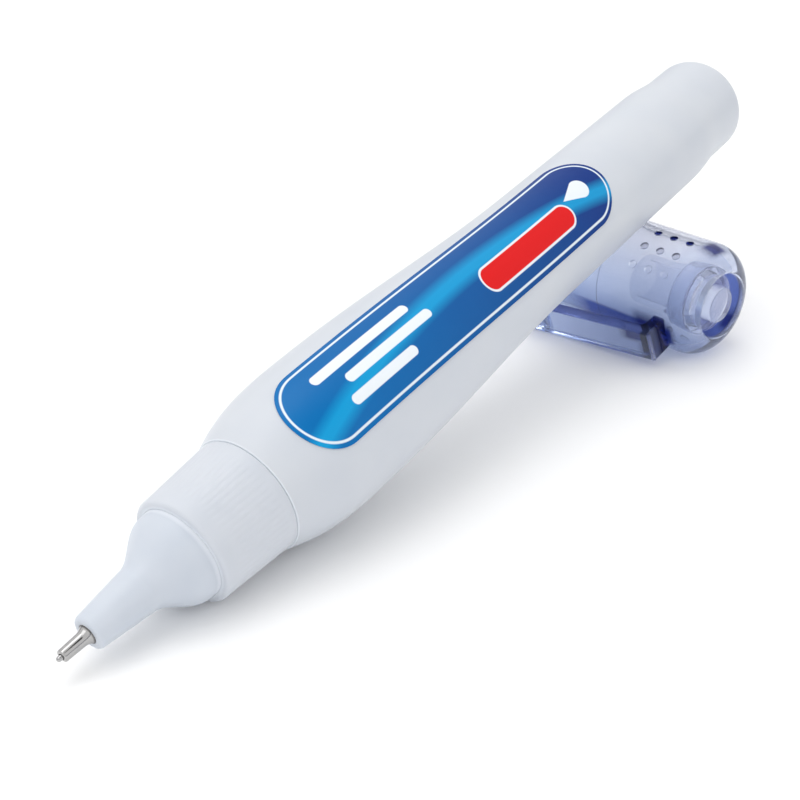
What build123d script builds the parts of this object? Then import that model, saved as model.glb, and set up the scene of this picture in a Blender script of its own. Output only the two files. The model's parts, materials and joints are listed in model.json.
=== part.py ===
# Squeeze-type correction pen with a metal tip, lying across its own cap on a table.
# Lengths are in millimetres and angles in degrees. Stations run along the pen from the needle's end.
import os
from math import asin, atan2, cos, radians, sin, sqrt, tan

from build123d import *

os.makedirs("parts", exist_ok=True)

# Needle and metal tip
needle_reach = 0.6
needle_pin_radius = 0.30
needle_stem_radius = 0.42
needle_cone_length = 0.15
needle_travel = 0.5
tip_radius = 0.77
tip_lip = 0.35
tip_round = 0.22
tip_slim_length = 2.95
tip_flare_length = 0.45
tip_base_radius = 1.15
tip_tail_length = 5.0

# Nozzle
nozzle_front_radius = 2.0
nozzle_edge_round = 0.55
nozzle_tube_length = 6.6
nozzle_tube_radius = 2.7
nozzle_flare_length = 5.8
nozzle_shoulder_radius = 5.52
nozzle_flange_radius = 5.85
nozzle_flange = 1.5
nozzle_skirt_length = 4.1
passage_radius = 0.8
valve_room_start = 7.4
valve_room_radius = 2.1
valve_room_length = 8.0
retainer_seat_radius = 3.0

# Valve carrier, spring and retainer
carrier_lead = 0.5
carrier_flange_radius = 1.9
carrier_flange = 0.8
carrier_stem_radius = 0.75
carrier_grip_length = 1.2
spring_radius = 1.3
spring_wire_radius = 0.16
spring_pitch = 1.0
retainer_thickness = 2.0
flow_hole_radius = 0.42
flow_hole_ring_radius = 1.62
flow_hole_count = 4

# Collar
collar_setback = 0.8
collar_length = 10.2
collar_front_radius = 6.55
collar_rear_radius = 7.15
collar_round = 0.7
collar_front_wall = 1.2
rib_count = 60
rib_land = 1.3
rib_depth = 0.05
rib_groove_radius = 0.32
gasket_thickness = 0.8

# Barrel
neck_radius = 5.9
barrel_wall = 1.1
seam_radius = 7.3
belly_radius = 9.37
belly_distance = 15.5
shoulder_slope = 0.42
taper_length = 43.0
rear_radius = 7.85
straight_length = 33.0
step_length = 7.5
spigot_radius = 7.27
spigot_length = 6.8
end_round = 2.2

# Label film
label_distance = 4.5
label_length = 64.0
label_width = 10.6
label_film = 0.1
label_turn = 30.0

# Mixing ball
ball_radius = 2.4

# Cap
cap_radius = 8.25
cap_length = 36.0
cap_end_round = 4.1
cap_end_wall = 1.3
cap_bore_length = 19.0
cap_inner_radius = 6.9
recess_radius = 4.8
recess_floor_radius = 4.3
recess_depth = 2.0
boss_radius = 2.7
boss_set_back = 0.25
boss_round = 0.5
socket_wall = 0.8
socket_length = 2.5
sleeve_length = 10.5
sleeve_wall = 0.9
sleeve_end_wall = 1.0

# Cap clip, measured from the cap's closed end
clip_start = 3.8
clip_end = 25.5
clip_width = 5.2
clip_thickness = 1.8
clip_height = 3.25
clip_splay = 8.1
clip_web_length = 2.0
clip_gap_round = 0.6
clip_bump_length = 3.0
clip_bump_height = 1.4
clip_round = 0.4

# Grip dimples on both flanks of the cap
dimple_radius = 0.6
dimple_depth = 0.4
dimple_start = 5.8
dimple_pitch = 2.8
dimple_turn = 22.7
dimple_side_turn = 82.6

# Clearances and gaps
running_clearance = 0.08
press_clearance = 0.03
seat_clearance = 0.02
cap_clearance = 0.06
seam_gap = 0.1
rest_gap = 0.1
ball_clearance = 0.15
glue_gap = 0.02
overrun = 1.0

# How the pen lies: where the cap crosses it in plan, and which way the cap's closed end points
crossing_distance = 109.1
cap_crossing_distance = 18.5
cap_turn = -100.6

# Shape shares: handle of a soft step, handle of the shoulder, depth of the clip's foot in the cap's wall
ease_share = 0.36
third_share = 1 / 3
foot_share = 0.3
half_share = 0.5
quarter_turn = 90

# Stations along the pen, from the needle's end
tip_front = needle_reach
flare_start = tip_front + tip_slim_length
nozzle_front = flare_start + tip_flare_length
tail_end = nozzle_front + tip_tail_length
flare_foot = nozzle_front + nozzle_tube_length
shoulder_station = flare_foot + nozzle_flare_length
room_front = nozzle_front + valve_room_start
retainer_front = room_front + valve_room_length
collar_front = shoulder_station + collar_setback
flange_front = collar_front + collar_front_wall
flange_rear = flange_front + nozzle_flange
skirt_end = flange_rear + nozzle_skirt_length
neck_lip = flange_rear + gasket_thickness
collar_rear = collar_front + collar_length
seam = collar_rear + seam_gap
belly = seam + belly_distance
straight_start = belly + taper_length
step_start = straight_start + straight_length
spigot_start = step_start + step_length
pen_end = spigot_start + spigot_length

# Radii that follow their mates
tip_bore_radius = needle_stem_radius + running_clearance
lip_hole_radius = needle_pin_radius + running_clearance
neck_bore_radius = neck_radius - barrel_wall
cap_bore_radius = spigot_radius + cap_clearance
sleeve_bore_radius = nozzle_tube_radius + cap_clearance
sleeve_radius = sleeve_bore_radius + sleeve_wall


def last_true(test, high):
    """Largest value between nothing and a bound at which a test still holds."""
    low = 0
    for halving in range(60):
        middle = (low + high) * half_share
        if test(middle):
            low = middle
        else:
            high = middle
    return low


# Resting pose: the collar's front edge is on the table and the straight of the barrel lies on the cap
def tip_height(tilt):
    """Height of the needle's end when the collar's rounded front edge touches the table."""
    edge_radius = collar_front_radius - collar_round
    edge_station = collar_front + collar_round
    return edge_radius * cos(tilt) + collar_round - edge_station * sin(tilt)


def axis_distance(tilt):
    """Distance between the pen's axis and the cap's axis, which lies level at one cap radius."""
    turn = radians(cap_turn)
    rise = crossing_distance * sin(tilt) - (cap_radius - tip_height(tilt)) * cos(tilt)
    return abs(sin(turn)) * rise / sqrt(sin(tilt) ** 2 + (cos(tilt) * sin(turn)) ** 2)


resting_distance = rear_radius + cap_radius + rest_gap
tilt = last_true(lambda angle: axis_distance(angle) < resting_distance, radians(45))

# Plan extents, for an origin under the middle of the object
cap_direction = Vector(cos(radians(cap_turn)), sin(radians(cap_turn)), 0)
cap_side = cap_direction.cross(Vector(0, 0, 1))
cap_end_x = crossing_distance + cap_crossing_distance * cap_direction.X
cap_end_y = cap_crossing_distance * cap_direction.Y
least_x = needle_pin_radius * (cos(tilt) - 1)
end_edge_x = (pen_end - end_round) * cos(tilt) + (spigot_radius - end_round) * sin(tilt)
most_x = end_edge_x + end_round
end_ring_y = (cap_radius - cap_end_round) * abs(cap_side.Y) + cap_end_round
least_y = cap_end_y - cap_end_round * cap_direction.Y - end_ring_y
most_y = cap_end_y - cap_length * cap_direction.Y + cap_radius * abs(cap_side.Y)
middle_x = (least_x + most_x) * half_share
middle_y = (least_y + most_y) * half_share

# Frame of the pen: stations along x, radii along y, drawn in the upright plane through its axis
needle_end = Vector(-middle_x, -middle_y, tip_height(tilt))
pen_direction = Vector(cos(tilt), 0, sin(tilt))
pen_up = Vector(-sin(tilt), 0, cos(tilt))
pen_axis = Axis(needle_end, pen_direction)
pen_plane = Plane(origin=needle_end, x_dir=pen_direction, z_dir=pen_direction.cross(pen_up))

# Frame of the cap: distance from the closed end along x, towards the clip along y.
# The cap has rolled until the free end of its clip touches the table.
clip_run = clip_end - clip_start
clip_top = cap_radius + clip_height
clip_end_top = clip_top + clip_run * tan(radians(clip_splay))
clip_half_width = clip_width * half_share
clip_reach = sqrt(clip_end_top**2 + clip_half_width**2)
clip_drop = asin(cap_radius / clip_reach) - atan2(clip_half_width, clip_end_top)
cap_end = Vector(cap_end_x - middle_x, cap_end_y - middle_y, cap_radius)
clip_direction = cap_side * cos(clip_drop) - Vector(0, 0, 1) * sin(clip_drop)
cap_axis = Axis(cap_end, cap_direction * -1)
cap_plane = Plane(origin=cap_end, x_dir=cap_direction * -1, z_dir=clip_direction.cross(cap_direction))


def along_pen(station):
    """Cross-section plane of the pen at a station, facing the rear."""
    return Plane(origin=needle_end + pen_direction * station, x_dir=pen_up, z_dir=pen_direction)


def out_from_pen(station, height, turn):
    """Plane facing outwards over the pen's axis, turned from the top towards the viewer's side."""
    outward = pen_up.rotate(Axis((0, 0, 0), pen_direction), turn)
    origin = needle_end + pen_direction * station + outward * height
    return Plane(origin=origin, x_dir=pen_direction, z_dir=outward)


def out_from_cap(distance, height, turn):
    """Plane facing outwards over the cap's axis, turned from the clip."""
    outward = clip_direction.rotate(Axis((0, 0, 0), cap_direction), turn)
    origin = cap_end - cap_direction * distance + outward * height
    return Plane(origin=origin, x_dir=cap_direction, z_dir=outward)


def ease(start, finish):
    """Soft step from one radius to another, level at both ends."""
    handle = (finish[0] - start[0]) * ease_share
    Bezier(start, (start[0] + handle, start[1]), (finish[0] - handle, finish[1]), finish)


def shoulder_points(start, inset):
    """Control points of the barrel's shoulder from a station to the belly, moved in by an inset."""
    foot_radius = seam_radius + (start - seam) * shoulder_slope - inset
    crest_radius = belly_radius - inset
    third = (belly - start) * third_share
    rise = third * shoulder_slope
    return (
        (start, foot_radius),
        (start + third, foot_radius + rise),
        (belly - third, crest_radius),
        (belly, crest_radius),
    )


def barrel_side(start, inset):
    """Barrel's side from a station on the shoulder to the rear step, moved in by an inset."""
    Bezier(*shoulder_points(start, inset))
    ease((belly, belly_radius - inset), (straight_start, rear_radius - inset))
    Line((straight_start, rear_radius - inset), (step_start, rear_radius - inset))


# Metal tip: slim tube with a rolled-in lip, a flared base and a tail inside the nozzle
with BuildPart() as metal_tip:
    with BuildSketch(pen_plane):
        with BuildLine():
            round_station = tip_front + tip_round
            Line((tip_front, lip_hole_radius), (tip_front, tip_radius - tip_round))
            CenterArc((round_station, tip_radius - tip_round), tip_round, quarter_turn, quarter_turn)
            Line((round_station, tip_radius), (flare_start, tip_radius))
            flare_handle = tip_flare_length * half_share
            Bezier(
                (flare_start, tip_radius),
                (flare_start + flare_handle, tip_radius),
                (nozzle_front, tip_base_radius),
            )
            Polyline(
                (nozzle_front, tip_base_radius),
                (tail_end, tip_base_radius),
                (tail_end, tip_bore_radius),
                (tip_front + tip_lip, tip_bore_radius),
                (tip_front + tip_lip, lip_hole_radius),
                (tip_front, lip_hole_radius),
            )
        make_face()
    revolve(axis=pen_axis)
metal_tip.part.label = "metal_tip"
export_step(metal_tip.part, "parts/metal_tip.step")

# Valve needle: rounded pin, sealing cone behind the lip, stem into the carrier
seat_station = tip_front + tip_lip + seat_clearance
stem_station = seat_station + needle_cone_length
carrier_front = room_front + carrier_lead
needle_rear = carrier_front + carrier_flange + carrier_grip_length
with BuildPart() as valve_needle:
    with BuildSketch(pen_plane):
        with BuildLine():
            CenterArc((needle_pin_radius, 0), needle_pin_radius, quarter_turn, quarter_turn)
            Polyline(
                (needle_pin_radius, needle_pin_radius),
                (seat_station, needle_pin_radius),
                (stem_station, needle_stem_radius),
                (needle_rear, needle_stem_radius),
                (needle_rear, 0),
                (0, 0),
            )
        make_face()
    revolve(axis=pen_axis)
valve_needle.part.label = "valve_needle"
export_step(valve_needle.part, "parts/valve_needle.step")

# Needle carrier: flange for the spring, bore gripping the needle, stem that runs in the retainer
carrier_bore_radius = needle_stem_radius + press_clearance
carrier_rear = retainer_front + retainer_thickness * half_share
with BuildPart() as needle_carrier:
    with BuildSketch(pen_plane):
        with BuildLine():
            Polyline(
                (carrier_front, carrier_bore_radius),
                (carrier_front, carrier_flange_radius),
                (carrier_front + carrier_flange, carrier_flange_radius),
                (carrier_front + carrier_flange, carrier_stem_radius),
                (carrier_rear, carrier_stem_radius),
                (carrier_rear, 0),
                (needle_rear + seat_clearance, 0),
                (needle_rear + seat_clearance, carrier_bore_radius),
                close=True,
            )
        make_face()
    revolve(axis=pen_axis)
needle_carrier.part.label = "needle_carrier"
export_step(needle_carrier.part, "parts/needle_carrier.step")

# Valve spring between the carrier's flange and the retainer
spring_front = carrier_front + carrier_flange + spring_wire_radius + seat_clearance
spring_rear = retainer_front - spring_wire_radius - seat_clearance
with BuildPart() as valve_spring:
    with BuildLine() as coil:
        Helix(
            pitch=spring_pitch,
            height=spring_rear - spring_front,
            radius=spring_radius,
            center=needle_end + pen_direction * spring_front,
            direction=pen_direction,
        )
    with BuildSketch(Plane(origin=coil.line @ 0, z_dir=coil.line % 0)):
        Circle(spring_wire_radius)
    sweep(path=coil.line)
valve_spring.part.label = "valve_spring"
export_step(valve_spring.part, "parts/valve_spring.step")
print("spring gap between turns", round(spring_pitch - 2 * spring_wire_radius, 3))

# Spring retainer: plug with flow holes round the guide of the carrier's stem
with BuildPart() as spring_retainer:
    with BuildSketch(along_pen(retainer_front)):
        Circle(retainer_seat_radius - press_clearance)
        Circle(carrier_stem_radius + running_clearance, mode=Mode.SUBTRACT)
        with PolarLocations(flow_hole_ring_radius, flow_hole_count):
            Circle(flow_hole_radius, mode=Mode.SUBTRACT)
    extrude(amount=retainer_thickness)
spring_retainer.part.label = "spring_retainer"
export_step(spring_retainer.part, "parts/spring_retainer.step")

# Nozzle: slim tube, soft flare to a rounded shoulder, flange under the collar, skirt in the neck
skirt_radius = neck_bore_radius - press_clearance
with BuildPart() as nozzle:
    with BuildSketch(pen_plane):
        with BuildLine():
            edge_station = nozzle_front + nozzle_edge_round
            edge_radius = nozzle_front_radius - nozzle_edge_round
            Line((nozzle_front, 0), (nozzle_front, edge_radius))
            CenterArc((edge_station, edge_radius), nozzle_edge_round, quarter_turn, quarter_turn)
            Line((edge_station, nozzle_front_radius), (flare_foot, nozzle_tube_radius))
            ease((flare_foot, nozzle_tube_radius), (shoulder_station, nozzle_shoulder_radius))
            Polyline(
                (shoulder_station, nozzle_shoulder_radius),
                (flange_front, nozzle_shoulder_radius),
                (flange_front, nozzle_flange_radius),
                (flange_rear, nozzle_flange_radius),
                (flange_rear, skirt_radius),
                (skirt_end, skirt_radius),
                (skirt_end, 0),
                (nozzle_front, 0),
            )
        make_face()
    revolve(axis=pen_axis)
    with BuildSketch(pen_plane):
        with BuildLine():
            Polyline(
                (nozzle_front - overrun, 0),
                (nozzle_front - overrun, tip_base_radius + press_clearance),
                (tail_end, tip_base_radius + press_clearance),
                (tail_end, passage_radius),
                (room_front, passage_radius),
                (room_front, valve_room_radius),
                (retainer_front, valve_room_radius),
                (retainer_front, retainer_seat_radius),
                (skirt_end + overrun, retainer_seat_radius),
                (skirt_end + overrun, 0),
                close=True,
            )
        make_face()
    revolve(axis=pen_axis, mode=Mode.SUBTRACT)
nozzle.part.label = "nozzle"
export_step(nozzle.part, "parts/nozzle.step")

# Neck gasket between the nozzle's flange and the lip of the neck
with BuildPart() as neck_gasket:
    with BuildSketch(along_pen(flange_rear)):
        Circle(nozzle_flange_radius)
        Circle(skirt_radius + press_clearance, mode=Mode.SUBTRACT)
    extrude(amount=gasket_thickness)
neck_gasket.part.label = "neck_gasket"
export_step(neck_gasket.part, "parts/neck_gasket.step")

# Collar: ring over the neck with a rounded front edge and fine grip ribs along its flank
collar_bore_radius = neck_radius + running_clearance
collar_hole_radius = nozzle_shoulder_radius + running_clearance
flank_start = collar_front + collar_round
flank_slope = (collar_rear_radius - collar_front_radius) / (collar_rear - flank_start)
rib_start = flank_start + rib_land
rib_run = collar_rear - rib_land - rib_start
groove_height = collar_front_radius + rib_land * flank_slope + rib_groove_radius - rib_depth
rib_planes = []
for rib in range(rib_count):
    outward_plane = out_from_pen(rib_start, groove_height, rib * 360 / rib_count)
    rib_planes.append(
        Plane(origin=outward_plane.origin, z_dir=pen_direction + outward_plane.z_dir * flank_slope)
    )
with BuildPart() as collar:
    with BuildSketch(pen_plane):
        with BuildLine():
            round_center = (flank_start, collar_front_radius - collar_round)
            Line((collar_front, collar_hole_radius), (collar_front, collar_front_radius - collar_round))
            CenterArc(round_center, collar_round, quarter_turn, quarter_turn)
            Polyline(
                (flank_start, collar_front_radius),
                (collar_rear, collar_rear_radius),
                (collar_rear, collar_bore_radius),
                (flange_front, collar_bore_radius),
                (flange_front, collar_hole_radius),
                (collar_front, collar_hole_radius),
            )
        make_face()
    revolve(axis=pen_axis)
    with BuildSketch(*rib_planes):
        Circle(rib_groove_radius)
    extrude(amount=rib_run * sqrt(1 + flank_slope**2), mode=Mode.SUBTRACT)
collar.part.label = "collar"
export_step(collar.part, "parts/collar.step")

# Barrel: squeeze bottle with a neck, a soft belly, a straight rear and a closed spigot for the cap
inner_seam = seam + barrel_wall
inner_shoulder = shoulder_points(inner_seam, barrel_wall)
with BuildPart() as barrel:
    with BuildSketch(pen_plane):
        with BuildLine():
            Polyline(
                (neck_lip, 0),
                (neck_lip, neck_radius),
                (seam, neck_radius),
                (seam, seam_radius),
            )
            barrel_side(seam, 0)
            ease((step_start, rear_radius), (spigot_start, spigot_radius))
            Line((spigot_start, spigot_radius), (pen_end - end_round, spigot_radius))
            CenterArc((pen_end - end_round, spigot_radius - end_round), end_round, 0, quarter_turn)
            Polyline((pen_end, spigot_radius - end_round), (pen_end, 0), (neck_lip, 0))
        make_face()
    revolve(axis=pen_axis)
    with BuildSketch(pen_plane):
        with BuildLine():
            inner_spigot_radius = spigot_radius - barrel_wall
            inner_round = end_round - barrel_wall * half_share
            inner_end = pen_end - barrel_wall
            Polyline(
                (neck_lip - overrun, 0),
                (neck_lip - overrun, neck_bore_radius),
                (inner_seam, neck_bore_radius),
                inner_shoulder[0],
            )
            barrel_side(inner_seam, barrel_wall)
            ease((step_start, rear_radius - barrel_wall), (spigot_start, inner_spigot_radius))
            Line((spigot_start, inner_spigot_radius), (inner_end - inner_round, inner_spigot_radius))
            CenterArc(
                (inner_end - inner_round, inner_spigot_radius - inner_round), inner_round, 0, quarter_turn
            )
            Polyline(
                (inner_end, inner_spigot_radius - inner_round), (inner_end, 0), (neck_lip - overrun, 0)
            )
        make_face()
    revolve(axis=pen_axis, mode=Mode.SUBTRACT)
barrel.part.label = "barrel"
export_step(barrel.part, "parts/barrel.step")

# Label film on the upper side of the barrel, a capsule cut from a thin sleeve over the barrel's side
film_bottom = glue_gap
film_top = glue_gap + label_film
label_middle = seam + label_distance + label_length * half_share
with BuildPart() as label:
    with BuildSketch(pen_plane):
        with BuildLine():
            barrel_side(seam, -film_bottom)
            Line((step_start, rear_radius + film_bottom), (step_start, rear_radius + film_top))
            barrel_side(seam, -film_top)
            Line((seam, seam_radius + film_top), (seam, seam_radius + film_bottom))
        make_face()
    revolve(axis=pen_axis)
    with BuildSketch(out_from_pen(label_middle, 0, label_turn)):
        SlotOverall(label_length, label_width)
    extrude(amount=belly_radius + overrun, mode=Mode.INTERSECT)
label.part.label = "label"
export_step(label.part, "parts/label.step")

# Mixing ball, resting where the shoulder's lower wall lies level
with BuildLine() as ball_seat:
    Bezier(*inner_shoulder)


def climbs(share):
    """Whether the lower wall still falls towards the rear at a share of the shoulder."""
    wall_direction = ball_seat.line % share
    return wall_direction.Y / wall_direction.X > tan(tilt)


rest_share = last_true(climbs, 1)
wall_point = ball_seat.line @ rest_share
wall_direction = ball_seat.line % rest_share
ball_stand_off = ball_radius + ball_clearance
ball_station = wall_point.X + wall_direction.Y * ball_stand_off
ball_drop = wall_point.Y - wall_direction.X * ball_stand_off
with BuildPart() as mixing_ball:
    with BuildSketch(pen_plane):
        with BuildLine():
            CenterArc((ball_station, -ball_drop), ball_radius, 0, 2 * quarter_turn)
            Line((ball_station - ball_radius, -ball_drop), (ball_station + ball_radius, -ball_drop))
        make_face()
    revolve(axis=Axis(needle_end - pen_up * ball_drop, pen_direction))
mixing_ball.part.label = "mixing_ball"
export_step(mixing_ball.part, "parts/mixing_ball.step")

# Cap shell: clip first, then the shell with its rounded end, recess, boss, bore, socket and dimples
inside_end = recess_depth + cap_end_wall
inside_round = cap_end_round * half_share
bore_start = cap_length - cap_bore_length
clip_foot = sqrt(cap_radius**2 - clip_half_width**2) - (cap_radius - cap_inner_radius) * foot_share
clip_slope = tan(radians(clip_splay))
web_end = clip_start + clip_web_length
bump_start = clip_end - clip_bump_length
bump_middle = clip_end - clip_bump_length * half_share
dimple_planes = []
for side_turn in (-dimple_side_turn, dimple_side_turn):
    for row in (-1, 0, 1):
        for column in (0, 1, 2):
            dimple_planes.append(
                out_from_cap(
                    dimple_start + column * dimple_pitch,
                    cap_radius - dimple_depth,
                    side_turn + row * dimple_turn,
                )
            )


def clip_line(distance, depth):
    """Point of the splayed clip at a distance from the closed end, in from its outer face."""
    return (distance, clip_top + (distance - clip_start) * clip_slope - depth)


with BuildPart() as cap_shell:
    with BuildSketch(cap_plane):
        with BuildLine():
            Polyline(
                clip_line(clip_start, 0),
                clip_line(clip_end, 0),
                clip_line(clip_end, clip_thickness),
                clip_line(bump_middle, clip_thickness + clip_bump_height),
                clip_line(bump_start, clip_thickness),
                clip_line(web_end, clip_thickness),
                (web_end, clip_foot),
                (clip_start, clip_foot),
                close=True,
            )
        make_face()
    extrude(amount=clip_half_width, both=True)
    outer_face = cap_shell.faces().sort_by(Axis(cap_end, clip_direction))[-1]
    fillet(outer_face.edges(), clip_round)
    gap_corner = cap_plane.from_local_coords(clip_line(web_end, clip_thickness))
    fillet(cap_shell.edges().sort_by_distance(gap_corner)[0], clip_gap_round)
    with BuildSketch(cap_plane):
        with BuildLine():
            end_center = (cap_end_round, cap_radius - cap_end_round)
            Line((0, 0), (0, cap_radius - cap_end_round))
            CenterArc(end_center, cap_end_round, quarter_turn, quarter_turn)
            Polyline((cap_end_round, cap_radius), (cap_length, cap_radius), (cap_length, 0), (0, 0))
        make_face()
    revolve(axis=cap_axis)
    with BuildSketch(cap_plane):
        with BuildLine():
            boss_center = (boss_set_back + boss_round, boss_radius - boss_round)
            Polyline(
                (boss_set_back, boss_radius - boss_round),
                (boss_set_back, 0),
                (-overrun, 0),
                (-overrun, recess_radius),
                (0, recess_radius),
                (recess_depth, recess_floor_radius),
                (recess_depth, boss_radius),
                (boss_set_back + boss_round, boss_radius),
            )
            CenterArc(boss_center, boss_round, quarter_turn, quarter_turn)
        make_face()
    revolve(axis=cap_axis, mode=Mode.SUBTRACT)
    with BuildSketch(cap_plane):
        with BuildLine():
            inside_center = (inside_end + inside_round, cap_inner_radius - inside_round)
            Line((inside_end, 0), (inside_end, cap_inner_radius - inside_round))
            CenterArc(inside_center, inside_round, quarter_turn, quarter_turn)
            Polyline(
                (inside_end + inside_round, cap_inner_radius),
                (bore_start, cap_inner_radius),
                (bore_start, cap_bore_radius),
                (cap_length + overrun, cap_bore_radius),
                (cap_length + overrun, 0),
                (inside_end, 0),
            )
        make_face()
    revolve(axis=cap_axis, mode=Mode.SUBTRACT)
    with BuildSketch(Plane(origin=cap_end - cap_direction * inside_end, z_dir=cap_direction * -1)):
        Circle(sleeve_radius + press_clearance + socket_wall)
        Circle(sleeve_radius + press_clearance, mode=Mode.SUBTRACT)
    extrude(amount=socket_length)
    with BuildSketch(*dimple_planes):
        Circle(dimple_radius)
    extrude(amount=dimple_depth + overrun, mode=Mode.SUBTRACT)
cap_shell.part.label = "cap_shell"
export_step(cap_shell.part, "parts/cap_shell.step")

# Inner cap: soft cup in the cap's socket that closes over the nozzle
cup_mouth = inside_end + sleeve_length
cup_floor = inside_end + sleeve_end_wall
with BuildPart() as inner_cap:
    with BuildSketch(cap_plane):
        with BuildLine():
            Polyline(
                (inside_end, 0),
                (inside_end, sleeve_radius),
                (cup_mouth, sleeve_radius),
                (cup_mouth, sleeve_bore_radius),
                (cup_floor, sleeve_bore_radius),
                (cup_floor, 0),
                close=True,
            )
        make_face()
    revolve(axis=cap_axis)
inner_cap.part.label = "inner_cap"
export_step(inner_cap.part, "parts/inner_cap.step")
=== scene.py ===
# %% [markdown]
# A squeeze-type correction pen lies across its own clear cap. The solids come packed in one frame, in
# metres, and this lesson dresses them: each visible piece is modelled again as a smooth mesh with soft
# edges, and every piece gets a finish made of nodes. First the imported frame is loaded.

# %% Load the frame
import json
from math import atan2, cos, pi, radians, sin, sqrt

import bpy
from mathutils import Matrix, Vector


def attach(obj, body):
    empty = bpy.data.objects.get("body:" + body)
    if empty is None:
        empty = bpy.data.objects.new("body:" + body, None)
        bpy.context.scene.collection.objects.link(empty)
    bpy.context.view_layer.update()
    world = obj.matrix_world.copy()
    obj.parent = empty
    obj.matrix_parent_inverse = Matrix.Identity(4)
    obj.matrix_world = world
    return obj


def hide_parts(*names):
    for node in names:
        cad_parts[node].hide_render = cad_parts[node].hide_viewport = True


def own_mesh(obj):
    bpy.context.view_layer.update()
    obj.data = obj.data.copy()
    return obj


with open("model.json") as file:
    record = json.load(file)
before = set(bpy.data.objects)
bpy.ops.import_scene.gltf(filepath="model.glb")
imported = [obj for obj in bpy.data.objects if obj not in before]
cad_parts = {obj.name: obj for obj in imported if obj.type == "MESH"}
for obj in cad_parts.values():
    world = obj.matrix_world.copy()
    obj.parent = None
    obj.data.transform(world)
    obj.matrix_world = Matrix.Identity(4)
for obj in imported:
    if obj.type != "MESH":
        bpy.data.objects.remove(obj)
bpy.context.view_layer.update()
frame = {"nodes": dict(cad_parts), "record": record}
nodes = frame["nodes"]
mounts = {mount["name"]: mount for mount in frame["record"]["mounts"]}
print("loaded", len(nodes), "solids")

# %% [markdown]
# The pen leans on the cap, so neither lies along a world axis. Both are turned shapes, and it is easiest
# to model a turned shape straight along X and put it in place afterwards. Sizes are in millimetres, and a
# station is a distance from the needle's end or from the closed end of the cap. Two mounts in the record
# give the axes: the pen's rear spigot and the mouth of the cap. The clip shows which way the cap has
# rolled.

# %% Frames of the pen and of the cap
mm = 0.001
spigot_station = 128.8
mouth_station = 26.5
clip_only_radius = 14.0


def placed(origin, along, up):
    """Matrix that puts a shape modelled along X, with Z as its upper side, where a piece lies."""
    across = up.cross(along).normalized()
    turned_up = along.cross(across)
    columns = Matrix((along, across, turned_up)).transposed()
    return Matrix.Translation(origin) @ columns.to_4x4()


pen_along = Vector(mounts["rear_spigot"]["axis"]).normalized()
needle_end = Vector(mounts["rear_spigot"]["pos_m"]) - pen_along * spigot_station * mm
pen_place = placed(needle_end, pen_along, Vector((0, 0, 1)))

cap_along = Vector(mounts["cap_mouth"]["axis"]).normalized()
cap_end = Vector(mounts["cap_mouth"]["pos_m"]) - cap_along * mouth_station * mm
clip_side = Vector()
for vertex in nodes["cap_shell"].data.vertices:
    arm = vertex.co - cap_end
    arm -= cap_along * arm.dot(cap_along)
    if arm.length > clip_only_radius * mm:
        clip_side += arm
cap_place = placed(cap_end, cap_along, clip_side.normalized())
print("needle end", [round(v / mm, 2) for v in needle_end], "cap end", [round(v / mm, 2) for v in cap_end])

# %% [markdown]
# The camera comes before the pieces, because every later choice is judged through it. It stands low in
# front of the tip and looks down along the pen. Its place was worked out from the pen's outline in the
# picture.

# %% Camera
view_pitch = radians(27.45)
view_heading = Vector((0.7942, 0.6077, 0)).normalized()
camera_from_needle = Vector((-63.30, -89.94, 85.67))
look = view_heading * cos(view_pitch) - Vector((0, 0, sin(view_pitch)))
camera = bpy.data.objects.new("camera", bpy.data.cameras.new("camera"))
bpy.context.scene.collection.objects.link(camera)
camera.data.lens = 61.49
camera.data.sensor_fit = "HORIZONTAL"
camera.data.sensor_width = 36
camera.data.clip_start = 5 * mm
camera.location = Vector((needle_end.x, needle_end.y, 0)) + camera_from_needle * mm
camera.rotation_euler = look.to_track_quat("-Z", "Y").to_euler()
bpy.context.scene.camera = camera
print("camera", [round(v, 4) for v in camera.location])

# %% [markdown]
# Turned pieces are made as on a lathe. A single point is extruded along the outline of half a section,
# and the outline is spun round the X axis. An outline lists stations and radii, and a third number rounds
# that corner, because no moulded or turned edge is perfectly sharp. Longer curves come from three small
# helpers.


# %% Outline tools
def softened(outline, cuts=4):
    """Outline with each corner that has a third number cut to a small curve of about that radius."""
    points = []
    for index, corner in enumerate(outline):
        here = Vector(corner[:2])
        if len(corner) == 2:
            points.append(here)
            continue
        before = Vector(outline[index - 1][:2])
        after = Vector(outline[index + 1][:2])
        start = here + (before - here).normalized() * corner[2]
        finish = here + (after - here).normalized() * corner[2]
        for cut in range(cuts + 1):
            t = cut / cuts
            points.append(start * (1 - t) ** 2 + here * 2 * t * (1 - t) + finish * t * t)
    return points


def bow(a, b, c, d, cuts):
    """Points of a smooth curve with two handles, without its first point."""
    a, b, c, d = (Vector(p) for p in (a, b, c, d))
    points = []
    for cut in range(1, cuts + 1):
        t = cut / cuts
        u = 1 - t
        points.append(tuple(a * u**3 + b * 3 * u * u * t + c * 3 * u * t * t + d * t**3))
    return points


def eased(a, d, cuts, share=0.36):
    """Points of a soft step from one radius to another, level at both ends, without its first point."""
    handle = (d[0] - a[0]) * share
    return bow(a, (a[0] + handle, a[1]), (d[0] - handle, d[1]), d, cuts)


def quarter(a, corner, d, cuts, share=0.5523):
    """Points of a quarter round that fills a corner, without its first point."""
    a, corner, d = (Vector(p) for p in (a, corner, d))
    return bow(a, a.lerp(corner, share), d.lerp(corner, share), d, cuts)


# %% Lathe tools
weld = 0.002


def deselect():
    """Nothing stays selected, so that the next operator touches only the new piece."""
    bpy.ops.object.select_all(action="DESELECT")


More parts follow.
